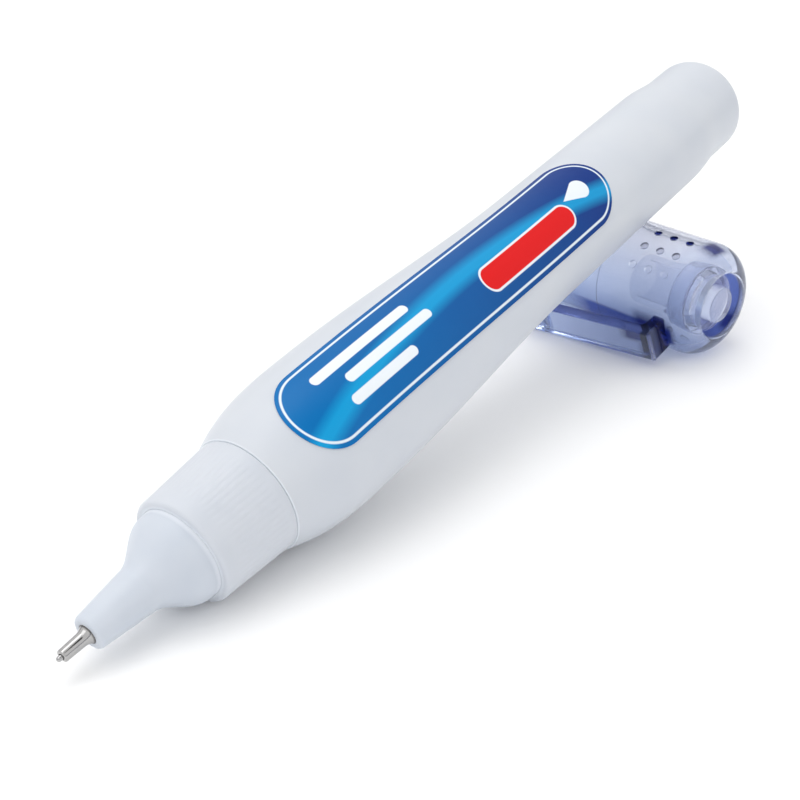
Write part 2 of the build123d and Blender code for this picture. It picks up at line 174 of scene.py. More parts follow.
def drawn(name, points):
    """New piece that is one line of edges through points, left in edit mode."""
    deselect()
    bpy.ops.mesh.primitive_plane_add(size=mm)
    piece = bpy.context.object
    piece.name = name
    bpy.ops.object.mode_set(mode="EDIT")
    bpy.ops.mesh.select_mode(type="VERT")
    bpy.ops.mesh.select_all(action="SELECT")
    bpy.ops.mesh.merge(type="CENTER")
    bpy.ops.transform.translate(value=points[0])
    for here, there in zip(points, points[1:]):
        bpy.ops.mesh.extrude_region_move(TRANSFORM_OT_translate={"value": there - here})
    bpy.ops.mesh.select_all(action="SELECT")
    return piece


def turned(name, outline, place, steps=128, angle=2 * pi):
    """Piece spun from an outline round the X axis, merged, facing outwards and put in its place."""
    piece = drawn(name, [Vector((x, 0, r)) * mm for x, r in softened(outline)])
    bpy.ops.mesh.spin(steps=steps, angle=angle, center=(0, 0, 0), axis=(1, 0, 0))
    bpy.ops.mesh.select_all(action="SELECT")
    bpy.ops.mesh.remove_doubles(threshold=weld * mm)
    bpy.ops.mesh.normals_make_consistent(inside=False)
    bpy.ops.object.mode_set(mode="OBJECT")
    piece.data.transform(place)
    return piece


def smoothed(piece, angle=35):
    """Smooth shading over soft corners, with real edges left crisp."""
    deselect()
    piece.select_set(True)
    bpy.context.view_layer.objects.active = piece
    bpy.ops.object.shade_smooth_by_angle(angle=radians(angle))
    print(piece.name, len(piece.data.polygons), "faces")
    return piece


# %% [markdown]
# The barrel is a squeeze bottle blown in one piece. Its shoulder swells from the seam to a belly, runs in
# a long taper to a straight rear and steps down to the spigot that the cap is posted on. The outline runs
# from the closed rear end forwards over the outside, round the lip of the neck and back along the inside,
# so the bottle has a real wall.

# %% Barrel
wall = 1.1
neck_front, neck_radius, neck_bore = 20.7, 5.9, 4.8
seam, seam_radius, shoulder_slope = 27.5, 7.3, 0.42
crest, crest_radius = 43.0, 9.37
straight, straight_radius = 86.0, 7.85
step_front, step_rear, spigot_radius = 119.0, 126.5, 7.27
rear_end, rear_round = 133.3, 2.2


def shoulder(start, inset, cuts):
    """Shoulder from a station to the crest of the belly, moved in by an inset, without its first point."""
    foot = seam_radius + (start - seam) * shoulder_slope - inset
    third = (crest - start) / 3
    top = crest_radius - inset
    leaving = (start + third, foot + third * shoulder_slope)
    return bow((start, foot), leaving, (crest - third, top), (crest, top), cuts)


round_start, round_finish = (rear_end, spigot_radius - rear_round), (rear_end - rear_round, spigot_radius)
outside = [(rear_end, 0), round_start] + quarter(round_start, (rear_end, spigot_radius), round_finish, 10)
outside += [(step_rear, spigot_radius)]
outside += eased((step_rear, spigot_radius), (step_front, straight_radius), 14)
outside += [((step_front + straight) / 2, straight_radius), (straight, straight_radius)]
outside += eased((straight, straight_radius), (crest, crest_radius), 40)
outside += list(reversed(shoulder(seam, 0, 24)))[1:]
outside += [(seam, seam_radius, 0.08), (seam, neck_radius, 0.1)]
outside += [(neck_front, neck_radius, 0.2), (neck_front, neck_bore, 0.2), (seam + wall, neck_bore, 0.3)]

inner_foot = 6.66
straight_bore, spigot_bore = straight_radius - wall, spigot_radius - wall
inside = [(seam + wall, inner_foot, 0.3)] + shoulder(seam + wall, wall, 16)
inside += eased((crest, crest_radius - wall), (straight, straight_bore), 24) + [(step_front, straight_bore)]
inside += eased((step_front, straight_bore), (step_rear, spigot_bore), 8)
inside += [(rear_end - wall, spigot_bore, 1.6), (rear_end - wall, 0)]
barrel = smoothed(turned("squeeze_barrel", outside + inside, pen_place, steps=160))

# %% [markdown]
# The nozzle is a slim moulded tube that flares in a soft S to a rounded shoulder. Behind the shoulder it
# goes on under the collar as a flange and a skirt, and its bore holds the metal tip, the needle and the
# valve.

# %% Nozzle
nozzle_front, tube_rear, flare_rear, collar_front = 4.0, 10.6, 16.4, 17.2
flange_front, flange_rear, skirt_rear = 18.4, 19.9, 24.0
tube_front_radius, tube_rear_radius, flare_radius = 2.0, 2.7, 5.52
body_radius, flange_radius, skirt_radius = 5.58, 5.85, 4.77
tip_rear, valve_front, plug_front = 9.0, 11.4, 19.4
tip_bore, needle_bore, valve_bore, plug_bore = 1.18, 0.8, 2.1, 3.0

front = [(nozzle_front, tip_bore, 0.08), (nozzle_front, tube_front_radius, 0.5)]
front += [(tube_rear, tube_rear_radius)]
flare = eased((tube_rear, tube_rear_radius), (flare_rear, flare_radius), 26)
rear = [(collar_front, body_radius), (flange_front, body_radius), (flange_front, flange_radius)]
rear += [(flange_rear, flange_radius), (flange_rear, skirt_radius)]
rear += [(skirt_rear, skirt_radius, 0.3), (skirt_rear, plug_bore, 0.2)]
bore = [(plug_front, plug_bore), (plug_front, valve_bore)]
bore += [(valve_front, valve_bore), (valve_front, needle_bore)]
bore += [(tip_rear, needle_bore), (tip_rear, tip_bore), (nozzle_front, tip_bore)]
nozzle = smoothed(turned("white_nozzle", front + flare + rear + bore, pen_place))

# %% [markdown]
# The metal tip is turned from bar: a slim tube whose front is rolled in round the needle, with a small
# flare where it meets the nozzle. The needle is a ground pin with a rounded end, and a cone behind the
# lip closes the valve.

# %% Metal tip and needle
lip_front, lip_rear, lip_bore, lip_radius = 0.6, 0.95, 0.38, 0.7
flare_start, flare_start_radius, tip_bore_radius, tip_root_radius = 2.95, 0.77, 0.5, 1.15
tip = [(lip_front, lip_bore, 0.05), (lip_front, lip_radius, 0.18), (flare_start, flare_start_radius)]
tip += bow(tip[-1], (3.4, 0.78), (3.75, 0.9), (nozzle_front, tip_root_radius), 14)
tip += [(tip_rear, tip_root_radius, 0.1), (tip_rear, tip_bore_radius), (lip_rear, tip_bore_radius)]
tip += [(lip_rear, lip_bore), (lip_front, lip_bore)]
metal_tip = smoothed(turned("turned_tip", tip, pen_place, steps=72))

pin_radius, shank_radius, cone_front, cone_rear, pin_rear = 0.3, 0.42, 0.97, 1.12, 13.9
pin = [(0.0, 0.0)] + quarter((0, 0), (0, pin_radius), (pin_radius, pin_radius), 8)
pin += [(cone_front, pin_radius), (cone_rear, shank_radius), (pin_rear, shank_radius), (pin_rear, 0.0)]
needle = smoothed(turned("needle_pin", pin, pen_place, steps=48))

# %% [markdown]
# Behind the needle a coil spring keeps the valve shut. It doesn't show, but it has to give way when the
# needle is pressed, which a stiff solid can't do. A ring of wire is swept into a coil by the Screw
# modifier and its two ends are closed.

# %% Valve spring
coil_front, coil_rear, coil_radius, wire_radius, pitch = 12.88, 19.22, 1.3, 0.16, 1.0
coil_length = coil_rear - coil_front
deselect()
bpy.ops.mesh.primitive_circle_add(
    vertices=14, radius=wire_radius * mm, location=(0, 0, coil_radius * mm), rotation=(pi / 2, 0, 0)
)
spring = bpy.context.object
spring.name = "coil_spring"
bpy.ops.object.transform_apply(location=True, rotation=True, scale=True)
coil = spring.modifiers.new("coil", "SCREW")
coil.axis = "X"
coil.angle = 2 * pi * coil_length / pitch
coil.screw_offset = coil_length * mm
coil.steps = coil.render_steps = 220
bpy.ops.object.modifier_apply(modifier="coil")
bpy.ops.object.mode_set(mode="EDIT")
bpy.ops.mesh.select_all(action="SELECT")
bpy.ops.mesh.fill_holes(sides=0)
bpy.ops.mesh.select_all(action="SELECT")
bpy.ops.mesh.normals_make_consistent(inside=False)
bpy.ops.object.mode_set(mode="OBJECT")
spring.data.transform(pen_place @ Matrix.Translation((coil_front * mm, 0, 0)))
smoothed(spring, 50)

# %% [markdown]
# The collar clamps the nozzle on the neck and has fine grip ribs. One rib is a sixtieth of a turn: a
# narrow sector is spun, and the middle of its flank is pushed in as a groove, in three passes that get
# narrower, so that the groove is round at the bottom.

# %% Collar sector
ribs = 60
collar_rear, collar_bore, lip_hole = 27.44, 5.98, 5.6
rib_front, rib_rear, rib_least_radius, rib_radius = 19.5, 25.8, 6.3, 6.85
flank = [(19.2, 6.63), (19.7, 6.66), (22.65, rib_radius), (25.6, 7.03), (26.1, 7.07)]
ring = [(collar_front, lip_hole, 0.15), (collar_front, 6.55, 0.62), (18.6, 6.6)] + flank
ring += [(collar_rear, 7.15, 0.06), (collar_rear, collar_bore, 0.12)]
ring += [(flange_front, collar_bore), (flange_front, lip_hole), (collar_front, lip_hole)]
collar = turned("ribbed_collar", ring, Matrix(), steps=12, angle=2 * pi / ribs)
deselect()
collar.select_set(True)
bpy.context.view_layer.objects.active = collar
groove_passes = ((0.012, 1.5), (0.016, 0.9), (0.012, 0.4))
for deeper, spread in groove_passes:
    for vertex in collar.data.vertices:
        off = abs(abs(atan2(-vertex.co.y, vertex.co.z)) - pi / ribs)
        on_flank = sqrt(vertex.co.y**2 + vertex.co.z**2) > rib_least_radius * mm
        in_reach = rib_front * mm < vertex.co.x < rib_rear * mm
        vertex.select = in_reach and on_flank and off < radians(spread) + 1e-6
    for edge in collar.data.edges:
        edge.select = False
    for face in collar.data.polygons:
        face.select = False
    bpy.ops.object.mode_set(mode="EDIT")
    shrink = 1 - deeper / rib_radius
    bpy.ops.transform.resize(value=(1, shrink, shrink), center_override=(0, 0, 0))
    bpy.ops.object.mode_set(mode="OBJECT")
print("collar sector", len(collar.data.polygons), "faces")

# %% [markdown]
# An Array modifier that follows a turned empty repeats the sector round the axis. Merging its seams
# afterwards closes the ring, and the empty isn't needed any more.

# %% Collar ring
sector_weld = 0.004
turner = bpy.data.objects.new("rib_turn", None)
bpy.context.scene.collection.objects.link(turner)
turner.rotation_euler.x = 2 * pi / ribs
bpy.context.view_layer.update()
array = collar.modifiers.new("ribs", "ARRAY")
array.count = ribs
array.use_relative_offset = False
array.use_object_offset = True
array.offset_object = turner
array.use_merge_vertices = True
array.use_merge_vertices_cap = True
array.merge_threshold = sector_weld * mm
bpy.ops.object.modifier_apply(modifier="ribs")
bpy.data.objects.remove(turner)
bpy.ops.object.mode_set(mode="EDIT")
bpy.ops.mesh.select_all(action="SELECT")
bpy.ops.mesh.remove_doubles(threshold=sector_weld * mm)
bpy.ops.mesh.normals_make_consistent(inside=False)
bpy.ops.object.mode_set(mode="OBJECT")
collar.data.transform(pen_place)
smoothed(collar, 40)

# %% [markdown]
# The label is a thin film wrapped on the upper side of the barrel. A flat grid is drawn out to a capsule,
# laid on the barrel by the radius that the barrel has at each station, and given its thickness by
# Solidify. Rows are closer together towards the long edges, so that the rounded ends stay smooth.

# %% Label
label_length, label_width, label_turn = 64.0, 10.6, radians(30)
label_middle, label_lift, film_thickness = 64.0, 0.02, 0.1
label_out = Vector((0, -sin(label_turn), cos(label_turn)))
label_side = Vector((0, -cos(label_turn), -sin(label_turn)))
half_width = label_width / 2


def barrel_radius(station):
    """Radius of the barrel's outside at a station, read from its outline."""
    points = [Vector(p[:2]) for p in outside]
    for rear_point, front_point in zip(points, points[1:]):
        if front_point.x <= station <= rear_point.x and rear_point.x > front_point.x:
            share = (station - front_point.x) / (rear_point.x - front_point.x)
            return front_point.y + (rear_point.y - front_point.y) * share


deselect()
bpy.ops.mesh.primitive_grid_add(x_subdivisions=150, y_subdivisions=30, size=2)
label = bpy.context.object
label.name = "printed_label"
for vertex in label.data.vertices:
    side = sin(vertex.co.y * pi / 2) * half_width
    half_length = label_length / 2 - half_width + sqrt(max(half_width**2 - side**2, 0))
    station = label_middle + vertex.co.x * half_length
    height = sqrt((barrel_radius(station) + label_lift) ** 2 - side**2)
    vertex.co = (Vector((station, 0, 0)) + label_out * height - label_side * side) * mm
solidify = label.modifiers.new("film", "SOLIDIFY")
solidify.thickness = film_thickness * mm
solidify.offset = 1
bpy.ops.object.modifier_apply(modifier="film")
label.data.transform(pen_place)
smoothed(label, 50)

# %% [markdown]
# The cap is one clear moulding: a thick tube with a rounded end, a recess with a boss in that end, and a
# bore in two steps. It is turned first. The splayed clip is drawn as a side view, filled, given its width
# and bevelled, and then joined to the tube. Last, the grip dimples are cut.

# %% Cap shell
cap_length, cap_radius, dome_radius, dome_start = 36.0, 8.25, 4.1, radians(15)
boss_front, boss_radius, recess_depth, recess_radius = 0.25, 2.7, 2.0, 4.3
bore_step, mouth_bore, inner_bore = 17.0, 7.33, 6.9
cap_floor, floor_round = 3.3, 2.05
socket_rim, socket_radius, socket_bore = 5.8, 4.49, 3.69
dome_cuts = 20

recess = [(boss_front, 0), (boss_front, boss_radius, 0.5), (recess_depth, boss_radius, 0.2)]
recess += [(recess_depth, recess_radius, 0.3), (0.06, 4.8, 0.35)]
dome = []
for cut in range(dome_cuts + 1):
    turn = dome_start + (pi / 2 - dome_start) * cut / dome_cuts
    dome.append((dome_radius - dome_radius * cos(turn), cap_radius - dome_radius + dome_radius * sin(turn)))
tube = [(station, cap_radius) for station in (9.0, 13.0, bore_step, 26.0)]
tube += [(cap_length, cap_radius, 0.25)]
cavity = [(cap_length, mouth_bore, 0.3), (bore_step, mouth_bore, 0.2), (bore_step, inner_bore, 0.2)]
cavity += [(12.0, inner_bore), (cap_floor + floor_round, inner_bore)]
cavity += quarter(cavity[-1], (cap_floor, inner_bore), (cap_floor, inner_bore - floor_round), 10)
socket = [(cap_floor, socket_radius, 0.1), (socket_rim, socket_radius, 0.12)]
socket += [(socket_rim, socket_bore, 0.12), (cap_floor, socket_bore), (cap_floor, 0)]
cap = turned("clear_cap", recess + dome + tube + cavity + socket, Matrix(), steps=192)
print("cap tube", len(cap.data.polygons), "faces")

# %% Clip
clip_start, clip_finish, clip_half, clip_round = 3.8, 25.5, 2.6, 0.3
clip_rise, clip_thick, splay = 11.5, 1.8, 0.14232
clip_foot, post_rear = 7.42, 5.8
nub_front, nub_crest, nub_height = 22.5, 24.0, 1.4


def clip_point(distance, depth, *corner):
    """Corner of the clip's side view, a depth in from its outer face, with the radius that rounds it."""
    return (distance, clip_rise + (distance - clip_start) * splay - depth, *corner)


side_view = [(clip_start, clip_foot), clip_point(clip_start, 0, 0.15), clip_point(clip_finish, 0, 0.5)]
side_view += [clip_point(clip_finish, clip_thick, 0.4), clip_point(nub_crest, clip_thick + nub_height, 0.7)]
side_view += [clip_point(nub_front, clip_thick, 0.7), clip_point(post_rear, clip_thick, 0.7)]
side_view += [(post_rear, clip_foot)]
clip = drawn("clip", [Vector((x, -clip_half, z)) * mm for x, z in softened(side_view)])
bpy.ops.mesh.edge_face_add()
bpy.ops.mesh.extrude_region_move(TRANSFORM_OT_translate={"value": (0, 2 * clip_half * mm, 0)})
bpy.ops.mesh.select_all(action="SELECT")
bpy.ops.mesh.normals_make_consistent(inside=False)
bpy.ops.mesh.select_all(action="DESELECT")
bpy.ops.object.mode_set(mode="OBJECT")
for edge in clip.data.edges:
    ends = [clip.data.vertices[v].co.y for v in edge.vertices]
    edge.select = abs(ends[0] - ends[1]) < clip_round * mm
bpy.ops.object.mode_set(mode="EDIT")
bpy.ops.mesh.select_mode(type="EDGE")
bpy.ops.mesh.bevel(offset=clip_round * mm, segments=3, profile=0.5)
bpy.ops.object.mode_set(mode="OBJECT")
print("clip", len(clip.data.polygons), "faces")

# %% Grip dimples
dimple_radius, dimple_floor, dimple_cut, dimple_round = 0.6, 7.85, 1.4, 0.16
dimple_side, row_turn = 82.6, 22.7
first_column, column_step = 5.8, 2.8
deselect()
dimple_middle = (0, 0, (dimple_floor + dimple_cut / 2) * mm)
bpy.ops.mesh.primitive_cylinder_add(
    vertices=28, radius=dimple_radius * mm, depth=dimple_cut * mm, location=dimple_middle
)
dimple = bpy.context.object
bpy.ops.object.transform_apply(location=True, rotation=False, scale=False)
bpy.ops.object.mode_set(mode="EDIT")
bpy.ops.mesh.select_all(action="DESELECT")
bpy.ops.object.mode_set(mode="OBJECT")
for edge in dimple.data.edges:
    ends = [dimple.data.vertices[v].co.z for v in edge.vertices]
    edge.select = max(ends) < (dimple_floor + dimple_round) * mm
bpy.ops.object.mode_set(mode="EDIT")
bpy.ops.mesh.select_mode(type="EDGE")
bpy.ops.mesh.bevel(offset=dimple_round * mm, segments=2)
bpy.ops.object.mode_set(mode="OBJECT")
copies = []
for middle_turn in (dimple_side, -dimple_side):
    for row in (-1, 0, 1):
        for column in (0, 1, 2):
            spot = dimple.copy()
            spot.data = dimple.data.copy()
            bpy.context.scene.collection.objects.link(spot)
            turn = Matrix.Rotation(radians(middle_turn + row_turn * row), 4, "X")
            shift = Matrix.Translation(((first_column + column_step * column) * mm, 0, 0))
            spot.data.transform(turn @ shift)
            copies.append(spot)
bpy.data.objects.remove(dimple)
deselect()
for spot in copies:
    spot.select_set(True)
bpy.context.view_layer.objects.active = copies[0]
bpy.ops.object.join()
dimples = bpy.context.object
dimples.name = "dimples"
print("dimples", len(copies))

# %% Join the clip and cut the dimples
deselect()
cap.select_set(True)
bpy.context.view_layer.objects.active = cap
for tool, operation in ((clip, "UNION"), (dimples, "DIFFERENCE")):
    boolean = cap.modifiers.new(tool.name, "BOOLEAN")
    boolean.object = tool
    boolean.operation = operation
    boolean.solver = "EXACT"
    bpy.ops.object.modifier_apply(modifier=tool.name)
    bpy.data.objects.remove(tool)
cap.data.transform(cap_place)
smoothed(cap, 32)

# %% [markdown]
# Inside the cap a soft cup stands in a socket and closes over the nozzle, so that the fluid doesn't dry.
# It shows as a pale shape through the clear wall.

# %% Sealing cup
cup_base, cup_floor, cup_rim, cup_radius, cup_bore = 3.33, 4.3, 13.8, 3.66, 2.76
cup_outline = [(cup_base, 0), (cup_base, cup_radius, 0.15), (cup_rim, cup_radius, 0.25)]
cup_outline += [(cup_rim, cup_bore, 0.25), (cup_floor, cup_bore, 0.4), (cup_floor, 0)]
cup = smoothed(turned("sealing_cup", cup_outline, cap_place, steps=96))

# %% [markdown]
# Finishes are written as arithmetic. A Wire holds one socket of a material, and sums, products and
# comparisons of wires add the Math nodes that a node tree would show. Every other node is added by one
# method, which takes the node's type, its settings and what goes into its sockets.


# %% Shader arithmetic
class Wire:
    """One socket of a material's node tree."""

    def __init__(self, tree, socket=None):
        self.tree = tree
        self.socket = socket

    def add(self, kind, settings=None, sockets=None, out=0):
        """New node of a type: its settings are set first, then values or wires go into its sockets."""
        node = self.tree.nodes.new(kind)
        for name, value in (settings or {}).items():
            setattr(node, name, value)
        for name, value in (sockets or {}).items():
            if isinstance(value, Wire):
                self.tree.links.new(value.socket, node.inputs[name])
            else:
                node.inputs[name].default_value = value
        return Wire(self.tree, node.outputs[out])

    def maths(self, operation, *values, clamp=False):
        settings = {"operation": operation, "use_clamp": clamp}
        return self.add("ShaderNodeMath", settings, dict(enumerate(values)))

    def __add__(self, other):
        return self.maths("ADD", self, other)

    __radd__ = __add__

    def __sub__(self, other):
        return self.maths("SUBTRACT", self, other)

    def __rsub__(self, other):
        return self.maths("SUBTRACT", other, self)

    def __mul__(self, other):
        return self.maths("MULTIPLY", self, other)

    __rmul__ = __mul__

    def __truediv__(self, other):
        return self.maths("DIVIDE", self, other)

    def __abs__(self):
        return self.maths("ABSOLUTE", self)

    def above(self, edge, soft):
        """Mask that turns from 0 to 1 where the value passes an edge, over a soft width."""
        return self.maths("MULTIPLY_ADD", self, 1 / soft, 0.5 - edge / soft, clamp=True)

    def below(self, edge, soft):
        """Mask that turns from 1 to 0 where the value passes an edge, over a soft width."""
        return self.maths("MULTIPLY_ADD", self, -1 / soft, 0.5 + edge / soft, clamp=True)

    def most(self, other):
        return self.maths("MAXIMUM", self, other)

    def root(self):
        return self.maths("SQRT", self)

    def sine(self):
        return self.maths("SINE", self)

    def blend(self, first, second):
        """Colour between two colours, by this wire as the share of the second."""
        return self.add("ShaderNodeMix", {"data_type": "RGBA"}, {0: self, 6: first, 7: second}, out=2)

    def parts(self):
        """The three numbers of a vector."""
        split = self.add("ShaderNodeSeparateXYZ", None, {0: self}).socket.node
        return [Wire(self.tree, output) for output in split.outputs]

    def dot(self, direction):
        """How much of this vector points along a direction."""
        vectors = {0: self, 1: direction}
        return self.add("ShaderNodeVectorMath", {"operation": "DOT_PRODUCT"}, vectors, out="Value")

    def noise(self, scale, detail=2.0, roughness=0.5):
        """Soft noise between 0 and 1 at a number of waves per unit of this vector."""
        values = {"Vector": self, "Scale": scale, "Detail": detail, "Roughness": roughness}
        return self.add("ShaderNodeTexNoise", None, values)

    def bump(self, height, strength):
        """Normal tilted by this wire as a height, full scale being a height in metres."""
        return self.add("ShaderNodeBump", None, {"Strength": strength, "Distance": height, "Height": self})


# %% Finish helpers
def colour(red, green, blue):
    """Node colour from the 0 to 255 values that a picture viewer shows."""
    values = []
    for value in (red, green, blue):
        share = value / 255
        values.append(share / 12.92 if share <= 0.04045 else ((share + 0.055) / 1.055) ** 2.4)
    return (*values, 1)


def finish(name, place):
    """New material, its shader, and the Object coordinates in a piece's own frame, in millimetres."""
    material = bpy.data.materials.new(name)
    material.use_nodes = True
    shader = material.node_tree.nodes["Principled BSDF"]
    start = Wire(material.node_tree)
    inverse = place.inverted()
    values = {"Vector": start.add("ShaderNodeTexCoord", out="Object"), "Scale": (1 / mm, 1 / mm, 1 / mm)}
    values["Location"] = inverse.to_translation() / mm
    values["Rotation"] = inverse.to_euler()
    return material, shader, start.add("ShaderNodeMapping", {"vector_type": "POINT"}, values)


def feed(shader, **wires):
    """Links wires into a shader's sockets, with underscores for spaces."""
    for name, wire in wires.items():
        wire.tree.links.new(wire.socket, shader.inputs[name.replace("_", " ")])


def settle(shader, **values):
    """Sets a shader's sockets to values that are the same all over, with underscores for spaces."""
    for name, value in values.items():
        shader.inputs[name.replace("_", " ")].default_value = value


def dress(piece, material):
    """Gives a piece or a solid one material."""
    piece.data.materials.clear()
    piece.data.materials.append(material)


# %% [markdown]
# The barrel, the collar and the nozzle are white plastics that differ a little. A blown bottle is satin,
# with a faint waviness in its skin. The moulded collar is a touch finer, and the nozzle is a bluer white.
# In each, the colour drifts by a few hundredths, the gloss changes with a slow noise, and a very low bump
# breaks up the highlight. The narrow crevices in front of the collar and behind it get a lighter colour:
# painted light, which stands in for the light that white plastic lets through, so they are less dark.

# %% White plastics
crevice_radius = 5.9


def white_plastic(name, light, shade, gloss, wave, grain):
    """Satin plastic between two whites, with waves of a size in millimetres and a fine grain."""
    material, shader, at = finish(name, pen_place)
    slow = at.noise(1 / wave, 2)
    fine = at.noise(1 / grain, 3, 0.6)
    along, across, height = at.parts()
    radius = (across * across + height * height).root()
    # Painted light: the colour is made lighter in the crevices in front of the collar and behind it.
    front_crevice_painted_light = abs(along - (collar_front - 0.1)).below(0.35, 0.4) * radius.below(crevice_radius, 0.3)
    rear_crevice_painted_light = abs(along - (collar_rear + seam) / 2).below(0.12, 0.1)
    skin = slow.above(0.5, 0.5).blend(shade, light)
    feed(shader, Base_Color=front_crevice_painted_light.most(rear_crevice_painted_light).blend(skin, colour(224, 229, 236)))
    feed(shader, Roughness=gloss - 0.05 + slow * 0.08 + fine * 0.03)
    feed(shader, Normal=(slow * 0.7 + fine * 0.3).bump(0.02 * mm, 0.5))
    settle(shader, Specular_IOR_Level=0.45, Subsurface_Weight=0.12, Subsurface_Scale=1.0)
    settle(shader, Subsurface_Radius=(1.2 * mm, 1.2 * mm, 1.4 * mm))
    return material


dress(barrel, white_plastic("satin_barrel", colour(209, 213, 219), colour(203, 208, 216), 0.36, 9.0, 0.5))
dress(collar, white_plastic("satin_collar", colour(209, 213, 220), colour(203, 208, 216), 0.42, 5.0, 0.3))
dress(nozzle, white_plastic("bluish_nozzle", colour(205, 211, 220), colour(199, 206, 216), 0.38, 4.0, 0.35))
print("white plastics done")

# %% [markdown]
# The metal tip is bright steel. Its turning marks are rings a few hundredths of a millimetre apart, which
# a wave along the axis gives, and they also carry a little of the roughness. Where the tip goes into the
# nozzle, a dull dark ring is painted shade and a painted dark reflection in that corner. The needle, the
# ball and the spring are steel too, each with its own gloss.


# %% Metals
def steel(name, bright, dull, gloss, ring, root=-1.0):
    """Steel with fine rings round the pen's axis, and a ring of painted shade at a station where it has
    one.
    """
    material, shader, at = finish(name, pen_place)
    along = at.parts()[0]
    rings = (along * (2 * pi / ring)).sine() * 0.5 + 0.5
    smear = at.noise(1.6, 3)
    shine = smear.above(0.5, 0.6).blend(dull, bright)
    # Painted shade and painted dark reflection: a dark ring where the tip goes into the nozzle.
    painted_shade_ring = abs(along - root).below(0.09, 0.12) * 0.7
    feed(shader, Base_Color=painted_shade_ring.blend(shine, colour(40, 38, 38)))
    feed(shader, Roughness=gloss + rings * 0.05 + smear * 0.06)
    feed(shader, Normal=rings.bump(0.002 * mm, 0.4))
    settle(shader, Metallic=1.0)
    return material


tip_root = nozzle_front - 0.03
dress(metal_tip, steel("turned_steel", colour(184, 183, 182), colour(174, 173, 173), 0.08, 0.09, tip_root))
dress(needle, steel("ground_steel", colour(186, 185, 185), colour(168, 168, 169), 0.12, 0.05))
dress(nodes["mixing_ball"], steel("ball_steel", colour(205, 206, 208), colour(180, 181, 184), 0.1, 0.4))
dress(spring, steel("wire_steel", colour(190, 191, 194), colour(158, 160, 164), 0.22, 0.15))
print("metals done")

# %% [markdown]
# The label holds a plain design of its own: a blue ground that deepens towards the rear, a cyan sweep, a
# red bar, white strokes such as the pen would draw, a drop and a thin white line along the edge. Each
# shape is a distance in millimetres on the label, and a mask with a soft edge turns the distance into
# ink.

# %% Label print
label_place = pen_place @ placed(Vector((label_middle * mm, 0, 0)), Vector((1, 0, 0)), label_out)
film, shader, at = finish("printed_film", label_place)
along, across, height = at.parts()


def capsule(centre, level, half, radius):
    """Distance from the edge of a lying capsule, below zero inside it."""
    past = (abs(along - centre) - half).most(0)
    rise = across - level
    return (past * past + rise * rise).root() - radius


ink = 0.1
edge_inset, edge_half = 0.55, 0.13
stroke_white = colour(234, 240, 245)
grain = at.noise(0.35, 2)
ground = (along / label_length + 0.5 + grain * 0.08).blend(colour(0, 112, 180), colour(0, 50, 128))
curve = across - 1.1 + (along - 2) * (along - 2) * 0.0042
ground = (abs(curve).below(1.15, 1.4) * 0.85).blend(ground, colour(8, 160, 216))
edge_line = abs(capsule(0, 0, label_length / 2 - half_width, half_width - edge_inset)).below(edge_half, ink)
ground = edge_line.blend(ground, colour(226, 236, 244))
bar, bar_border = capsule(12.5, -1.55, 8.6, 1.55), 0.28
ground = bar.below(bar_border, ink).blend(ground, colour(232, 238, 244))
ground = bar.below(0, ink).blend(ground, colour(222, 12, 16))
for centre, level, half in ((-17.5, 2.45, 8.0), (-15.0, 0.15, 7.2), (-18.5, -2.15, 5.2)):
    ground = capsule(centre, level, half, 0.62).below(0, ink).blend(ground, stroke_white)
drop_belly = capsule(26.9, 0.0, 0.0, 1.45)
drop_point = (abs(across) - (along - 23.0) * 0.4).most(along - 26.36)
ground = drop_belly.below(0, ink).most(drop_point.below(0, ink)).blend(ground, stroke_white)
feed(shader, Base_Color=ground, Roughness=0.32 + grain * 0.1, Normal=grain.bump(0.004 * mm, 0.3))
settle(shader, Specular_IOR_Level=0.15, Coat_Weight=0.05, Coat_Roughness=0.2)
dress(label, film)
print("label print done")

# %% [markdown]
# The cap is clear styrene with a violet-blue tint. A thin wall looks almost colourless, and only a long
# way through the plastic turns light navy. That is absorption inside the solid, so the surface stays near
# white and the tint is a Volume Absorption. Glass blocks lamps in Cycles, so shadow rays see a plain
# transparent shader instead, which keeps the floor under the cap bright. The cup inside is softer and
# paler.


# %% Clear plastics
def clear_plastic(name, light, shade, gloss, index, density):
    """Clear tinted plastic: its surface, its refractive index and how much of it a metre takes away."""
    material, shader, at = finish(name, cap_place)
    haze = at.noise(0.35, 2)
    skin = haze.above(0.5, 0.8).blend(shade, light)
    roughness = haze * 0.05 + gloss
    feed(shader, Base_Color=skin, Roughness=roughness)
    settle(shader, Transmission_Weight=0.9, IOR=index)
    surface = Wire(material.node_tree, shader.outputs[0])
    shadow = surface.add("ShaderNodeLightPath", out="Is Shadow Ray")
    passing = surface.add("ShaderNodeBsdfTransparent", None, {"Color": light})
    surface = surface.add("ShaderNodeMixShader", None, {0: shadow, 1: surface, 2: passing})
    inside = surface.add("ShaderNodeVolumeAbsorption", None, {"Color": violet, "Density": density})
    output = material.node_tree.nodes["Material Output"]
    material.node_tree.links.new(surface.socket, output.inputs["Surface"])
    material.node_tree.links.new(inside.socket, output.inputs["Volume"])
    return material, shader, at, skin, roughness


violet = (0.40, 0.50, 0.76, 1)
soft_clear = clear_plastic("soft_clear", colour(246, 247, 251), colour(241, 243, 249), 0.12, 1.02, 10.0)[0]
dress(cup, soft_clear)
clear_violet, shader, at, skin, roughness = clear_plastic(
    "clear_violet", colour(242, 243, 248), colour(236, 238, 246), 0.04, 1.24, 45.0
)
dress(cap, clear_violet)
print("clear plastics done")
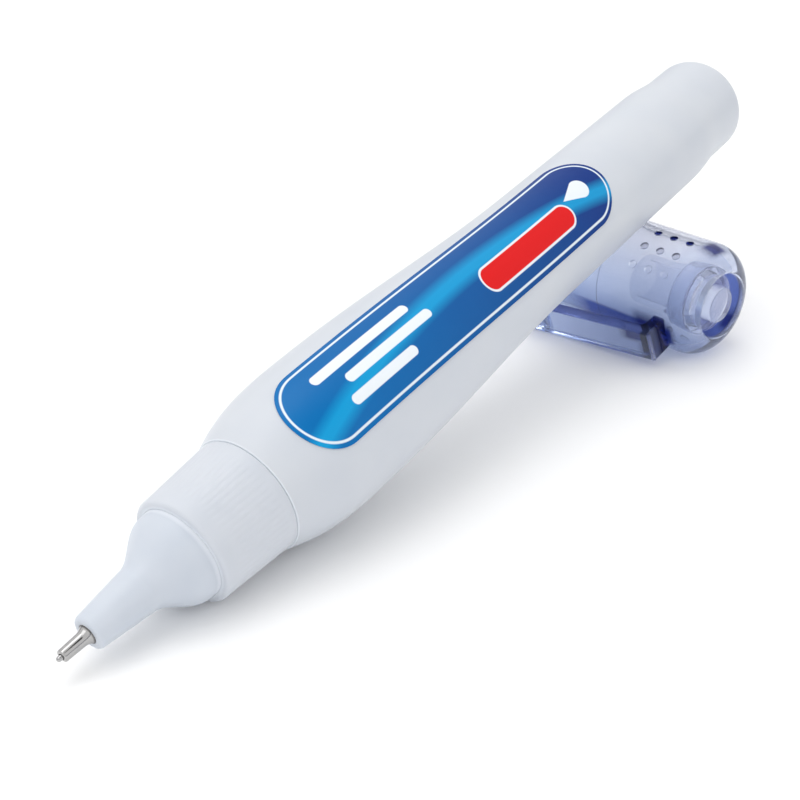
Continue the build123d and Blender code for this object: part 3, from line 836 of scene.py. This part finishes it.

# %% [markdown]
# The navy and blue places that the clear cap shows come from refraction and shade, and they are painted on
# the surface as painted shade: the groove round the boss, the clip's root and web, the gap under the clip,
# the clip's flanks, the dimples and a spot on the dome, with a bluer painted shade towards the clip's side,
# on the dome and over the clip. Each place is a mask from the station along the cap, the distance across
# the clip, the distance out towards it, the radius and the depth under the clip's outer face. The clip's
# end is frosted, as a cut face is, and painted a darker grey-blue as shade.

# %% Painted shade on the cap
navy, cobalt, periwinkle = colour(3, 9, 84), colour(46, 64, 150), colour(92, 108, 178)
lavender, side_blue = colour(206, 217, 241), colour(192, 206, 230)
dome_blue, end_grey = colour(204, 215, 236), colour(168, 180, 222)
along, across, out = at.parts()
radius = (across * across + out * out).root()
depth = (along - clip_start) * splay + clip_rise - out

# Masks of the places that get painted shade.
two_sides = ((out - across) / radius).below(0.8, 0.7)
groove = along.below(2.1, 0.4) * radius.above(2.65, 0.3) * radius.below(4.74, 0.2) * two_sides
under_clip = out.above(8.0, 0.4) * depth.above(1.4, 0.8)
clip_root = under_clip * along.below(6.8, 1.4)
web = under_clip * along.below(9.4, 1.6) * along.above(5.6, 0.4) * across.below(0.6, 0.8)
gap = radius.above(8.1, 0.1) * radius.below(8.4, 0.1) * out.above(7.0, 0.5) * along.below(20.5, 5.0)
gap = gap * across.above(-1.0, 0.6) * across.below(2.2, 0.6)
dots = radius.above(7.6, 0.2) * radius.below(8.19, 0.04) * out.below(0.5, 5.0)
dots = dots * along.above(4.7, 0.3) * along.below(13.0, 0.4)
dome_spot = radius.above(7.3, 0.5) * along.below(4.0, 1.2) * out.above(-5.0, 1.6) * out.below(-1.6, 1.6)
flank = abs(across).above(2.4, 0.2) * out.above(8.3, 0.3) * (across.below(0, 1) * 0.75 + 0.25)
flank_blue = (depth * 0.4 - 0.15).blend(periwinkle, navy)
clip_end = along.below(4.2, 0.3) * out.above(9.4, 0.6)

# Painted shade: each blend below darkens or blues the cap's own colour where its mask says.
cap_colour_and_painted_shade = out.above(3.5, 8.0).blend(skin, side_blue)
cap_colour_and_painted_shade = (along.below(5.5, 4.0) * radius.above(5.0, 0.6) * 0.5).blend(cap_colour_and_painted_shade, dome_blue)
cap_colour_and_painted_shade = (out.above(9.2, 0.6) * depth.below(2.6, 1.0)).blend(cap_colour_and_painted_shade, lavender)
cap_colour_and_painted_shade = flank.blend(cap_colour_and_painted_shade, flank_blue)
cap_colour_and_painted_shade = clip_end.blend(cap_colour_and_painted_shade, end_grey)
cap_colour_and_painted_shade = groove.most(gap).blend(cap_colour_and_painted_shade, cobalt)
cap_colour_and_painted_shade = clip_root.most(web).most(dots).most(dome_spot * 0.98).blend(cap_colour_and_painted_shade, navy)
feed(shader, Base_Color=cap_colour_and_painted_shade, Roughness=clip_end * 0.5 + roughness)
print("deep places of the cap done")

# %% [markdown]
# The pieces inside the pen keep their solids, because nothing shows them. They still get finishes of
# their own: natural plastic for the carrier and the retainer, and soft grey rubber for the gasket.

# %% Inner pieces
for name in ("needle_carrier", "spring_retainer"):
    natural = white_plastic("natural_" + name, colour(224, 226, 228), colour(212, 215, 219), 0.45, 2.5, 0.2)
    dress(nodes[name], natural)
rubber = white_plastic("soft_rubber", colour(176, 180, 187), colour(160, 165, 173), 0.62, 2.0, 0.15)
dress(nodes["neck_gasket"], rubber)
print("inner pieces done")

# %% [markdown]
# The stage is a pale floor under a soft studio sky, bright overhead and darker low down, so that the
# clear cap has something dark to mirror. A bright panel and a dark flag hang in that sky: bare metal
# shows only what it mirrors, and these two give the tip its light stripe with a thin dark line beside it.
# One large soft light adds the direction of the shadows.

# %% Floor
deselect()
bpy.ops.mesh.primitive_plane_add(size=3)
floor = bpy.context.object
floor.name = "floor"
paper, shader, at = finish("pale_floor", Matrix())
feed(shader, Base_Color=at.noise(0.02, 2).blend(colour(250, 250, 250), colour(253, 253, 253)))
settle(shader, Roughness=0.7, Specular_IOR_Level=0.1)
dress(floor, paper)
print("floor laid")

# %% Sky and key light
low_sky, high_sky = (0.45, 0.46, 0.50, 1), (1.0, 1.0, 1.0, 1)
bright_panel = ((0.16, 0.25, 0.955), 0.965, 2.5)
dark_flag = ((0.179, -0.454, 0.873), 0.977, 0.03)
world = bpy.data.worlds.new("studio")
bpy.context.scene.world = world
world.use_nodes = True
toward = Wire(world.node_tree).add("ShaderNodeTexCoord", out="Generated")
glow = toward.parts()[2].above(0.2, 0.2).blend(low_sky, high_sky)
for direction, edge, level in (bright_panel, dark_flag):
    glow = toward.dot(direction).above(edge, 0.012).blend(glow, (level, level, level, 1))
background = world.node_tree.nodes["Background"]
feed(background, Color=glow)
settle(background, Strength=1.04)

key_place = Vector((-0.25, 0.10, 0.45))
key = bpy.data.objects.new("key", bpy.data.lights.new("key", "AREA"))
key.data.size = 0.35
key.data.energy = 0.4
key.location = key_place
key.rotation_euler = (-key_place).to_track_quat("-Z", "Y").to_euler()
bpy.context.scene.collection.objects.link(key)
bpy.context.scene.view_settings.view_transform = "Standard"
print("stage set")

# %% [markdown]
# Each new piece rides on the body of the solid that it replaces.

# %% Ride on the bodies and hide the solids
for piece, node, body in (
    (barrel, "barrel", "pen"),
    (label, "label", "pen"),
    (collar, "collar", "pen"),
    (nozzle, "nozzle", "pen"),
    (metal_tip, "metal_tip", "pen"),
    (needle, "valve_needle", "valve"),
    (spring, "valve_spring", "pen"),
    (cap, "cap_shell", "cap"),
    (cup, "inner_cap", "cap"),
):
    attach(piece, body)
    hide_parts(node)
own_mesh(spring)
